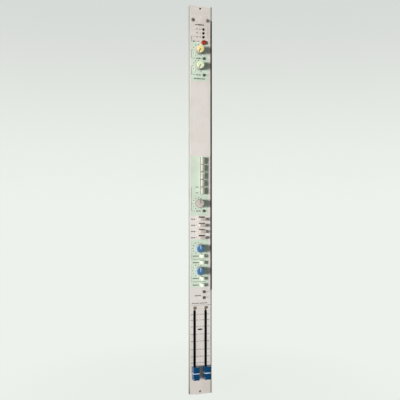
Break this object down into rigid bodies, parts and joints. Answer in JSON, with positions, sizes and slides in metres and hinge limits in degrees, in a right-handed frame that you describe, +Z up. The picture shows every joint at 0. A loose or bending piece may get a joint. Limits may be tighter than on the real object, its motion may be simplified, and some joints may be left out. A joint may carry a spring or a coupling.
{
  "type": "microphone preamp",
  "caption": "Narrow control-strip module of an audio desk: pale folded panel with rotary knobs, push buttons, lamps and long faders, circuit board behind.",
  "frame": {"origin": "midway between the two fixing holes, on the back of the panels", "axes": "+X to the right seen from the front, +Y from the front into the module, +Z up the panel"},
  "size_m": [0.0381, 0.0856, 0.64],
  "materials": {
    "panel_paint": "fine matt paint",
    "side_paint": "matt black paint",
    "aluminium": "milled",
    "zinc": "zinc plated",
    "board": "green solder mask",
    "brown_screw": "brown oxide",
    "bronze_screw": "brown oxide",
    "lamp": "dark lens",
    "pot_metal": "drawn steel",
    "switch_blue": "moulded",
    "connector": "moulded",
    "chip": "moulded",
    "capacitor": "sleeved",
    "can_metal": "drawn can",
    "ribbon": "flat lead",
    "knob_grey": "fluted moulding",
    "knob_stone": "fluted moulding",
    "knob_pale": "fluted moulding",
    "cap_yellow": "satin moulding",
    "cap_green": "satin moulding",
    "cap_stone": "satin moulding",
    "cap_blue": "satin moulding",
    "red": "satin moulding",
    "black": "satin moulding",
    "bank_grey": "satin moulding",
    "wide_beige": "satin moulding",
    "white": "satin moulding",
    "carriage": "acetal",
    "fader_blue": "satin moulding"
  },
  "bodies": {
    "module": {"front_panel": "panel_paint", "fader_panel": "panel_paint", "side_plate": "side_paint", "top_block": "aluminium", "joining_strap": "zinc", "strap_nuts": "zinc", "main_board": "board", "board_spacers": "zinc", "chassis_screws": "zinc", "panel_screws": "brown_screw", "fader_screws": "bronze_screw", "lamps": "lamp", "pot_bodies": "pot_metal", "switch_bodies": "switch_blue", "bank_switch": "zinc", "rear_connectors": "connector", "chips": "chip", "capacitors": "capacitor", "input_transformer": "can_metal", "fader_cases": "pot_metal", "fader_rods": "zinc", "fader_leads": "ribbon"},
    "rotary_1": {"knob_1": "knob_grey", "knob_cap_1": "cap_yellow", "knob_shaft_1": "zinc"},
    "rotary_2": {"knob_2": "knob_grey", "knob_cap_2": "cap_green", "knob_shaft_2": "zinc"},
    "rotary_3": {"knob_3": "knob_stone", "knob_cap_3": "cap_stone", "knob_shaft_3": "zinc"},
    "rotary_4": {"knob_4": "knob_pale", "knob_cap_4": "cap_blue", "knob_shaft_4": "zinc"},
    "rotary_5": {"knob_5": "knob_pale", "knob_cap_5": "cap_blue", "knob_shaft_5": "zinc"},
    "red_push": {"red_button": "red"},
    "black_push_1": {"black_button_1": "black"},
    "black_push_2": {"black_button_2": "black"},
    "black_push_3": {"black_button_3": "black"},
    "black_push_4": {"black_button_4": "black"},
    "black_push_5": {"black_button_5": "black"},
    "bank_push_1": {"bank_button_1": "bank_grey"},
    "bank_push_2": {"bank_button_2": "bank_grey"},
    "bank_push_3": {"bank_button_3": "bank_grey"},
    "bank_push_4": {"bank_button_4": "bank_grey"},
    "bank_push_5": {"bank_button_5": "bank_grey"},
    "wide_push_1": {"wide_button_1": "wide_beige"},
    "wide_push_2": {"wide_button_2": "wide_beige"},
    "wide_push_3": {"wide_button_3": "wide_beige"},
    "wide_push_4": {"wide_button_4": "wide_beige"},
    "white_push_1": {"white_button_1": "white"},
    "white_push_2": {"white_button_2": "white"},
    "white_push_3": {"white_button_3": "white"},
    "white_push_4": {"white_button_4": "white"},
    "fader_1": {"fader_carriage_1": "carriage", "fader_knob_1": "fader_blue"},
    "fader_2": {"fader_carriage_2": "carriage", "fader_knob_2": "fader_blue"}
  },
  "joints": [
    {"name": "rotary_1_turn", "type": "hinge", "parent": "module", "child": "rotary_1", "pos_m": [-0.003, 0, 0.24665], "axis": [0, 1, 0], "range_deg": [0, 300]},
    {"name": "rotary_2_turn", "type": "hinge", "parent": "module", "child": "rotary_2", "pos_m": [-0.003, 0, 0.22075], "axis": [0, 1, 0], "range_deg": [0, 300]},
    {"name": "rotary_3_turn", "type": "hinge", "parent": "module", "child": "rotary_3", "pos_m": [-0.003, 0, -0.00555], "axis": [0, 1, 0], "range_deg": [-150, 150]},
    {"name": "rotary_4_turn", "type": "hinge", "parent": "module", "child": "rotary_4", "pos_m": [-0.003, 0, -0.07955], "axis": [0, 1, 0], "range_deg": [-150, 150]},
    {"name": "rotary_5_turn", "type": "hinge", "parent": "module", "child": "rotary_5", "pos_m": [-0.003, 0, -0.11645], "axis": [0, 1, 0], "range_deg": [-150, 150]},
    {"name": "red_push_press", "type": "slide", "parent": "module", "child": "red_push", "axis": [0, 1, 0], "range_m": [0, 0.003], "stiffness_N_per_m": 200, "springref_m": -0.002},
    {"name": "black_push_1_press", "type": "slide", "parent": "module", "child": "black_push_1", "axis": [0, 1, 0], "range_m": [0, 0.002], "stiffness_N_per_m": 200, "springref_m": -0.002},
    {"name": "black_push_2_press", "type": "slide", "parent": "module", "child": "black_push_2", "axis": [0, 1, 0], "range_m": [0, 0.002], "stiffness_N_per_m": 200, "springref_m": -0.002},
    {"name": "black_push_3_press", "type": "slide", "parent": "module", "child": "black_push_3", "axis": [0, 1, 0], "range_m": [0, 0.002], "stiffness_N_per_m": 200, "springref_m": -0.002},
    {"name": "black_push_4_press", "type": "slide", "parent": "module", "child": "black_push_4", "axis": [0, 1, 0], "range_m": [0, 0.002], "stiffness_N_per_m": 200, "springref_m": -0.002},
    {"name": "black_push_5_press", "type": "slide", "parent": "module", "child": "black_push_5", "axis": [0, 1, 0], "range_m": [0, 0.002], "stiffness_N_per_m": 200, "springref_m": -0.002},
    {"name": "bank_push_1_press", "type": "slide", "parent": "module", "child": "bank_push_1", "axis": [0, 1, 0], "range_m": [0, 0.003], "stiffness_N_per_m": 200, "springref_m": -0.002},
    {"name": "bank_push_2_press", "type": "slide", "parent": "module", "child": "bank_push_2", "axis": [0, 1, 0], "range_m": [0, 0.003], "stiffness_N_per_m": 200, "springref_m": -0.002},
    {"name": "bank_push_3_press", "type": "slide", "parent": "module", "child": "bank_push_3", "axis": [0, 1, 0], "range_m": [0, 0.003], "stiffness_N_per_m": 200, "springref_m": -0.002},
    {"name": "bank_push_4_press", "type": "slide", "parent": "module", "child": "bank_push_4", "axis": [0, 1, 0], "range_m": [0, 0.003], "stiffness_N_per_m": 200, "springref_m": -0.002},
    {"name": "bank_push_5_press", "type": "slide", "parent": "module", "child": "bank_push_5", "axis": [0, 1, 0], "range_m": [0, 0.003], "stiffness_N_per_m": 200, "springref_m": -0.002},
    {"name": "wide_push_1_press", "type": "slide", "parent": "module", "child": "wide_push_1", "axis": [0, 1, 0], "range_m": [0, 0.003], "stiffness_N_per_m": 200, "springref_m": -0.002},
    {"name": "wide_push_2_press", "type": "slide", "parent": "module", "child": "wide_push_2", "axis": [0, 1, 0], "range_m": [0, 0.003], "stiffness_N_per_m": 200, "springref_m": -0.002},
    {"name": "wide_push_3_press", "type": "slide", "parent": "module", "child": "wide_push_3", "axis": [0, 1, 0], "range_m": [0, 0.003], "stiffness_N_per_m": 200, "springref_m": -0.002},
    {"name": "wide_push_4_press", "type": "slide", "parent": "module", "child": "wide_push_4", "axis": [0, 1, 0], "range_m": [0, 0.003], "stiffness_N_per_m": 200, "springref_m": -0.002},
    {"name": "white_push_1_press", "type": "slide", "parent": "module", "child": "white_push_1", "axis": [0, 1, 0], "range_m": [0, 0.003], "stiffness_N_per_m": 200, "springref_m": -0.002},
    {"name": "white_push_2_press", "type": "slide", "parent": "module", "child": "white_push_2", "axis": [0, 1, 0], "range_m": [0, 0.003], "stiffness_N_per_m": 200, "springref_m": -0.002},
    {"name": "white_push_3_press", "type": "slide", "parent": "module", "child": "white_push_3", "axis": [0, 1, 0], "range_m": [0, 0.003], "stiffness_N_per_m": 200, "springref_m": -0.002},
    {"name": "white_push_4_press", "type": "slide", "parent": "module", "child": "white_push_4", "axis": [0, 1, 0], "range_m": [0, 0.003], "stiffness_N_per_m": 200, "springref_m": -0.002},
    {"name": "fader_1_slide", "type": "slide", "parent": "module", "child": "fader_1", "axis": [0, 0, 1], "range_m": [0, 0.1]},
    {"name": "fader_2_slide", "type": "slide", "parent": "module", "child": "fader_2", "axis": [0, 0, 1], "range_m": [0, 0.1]}
  ]
}
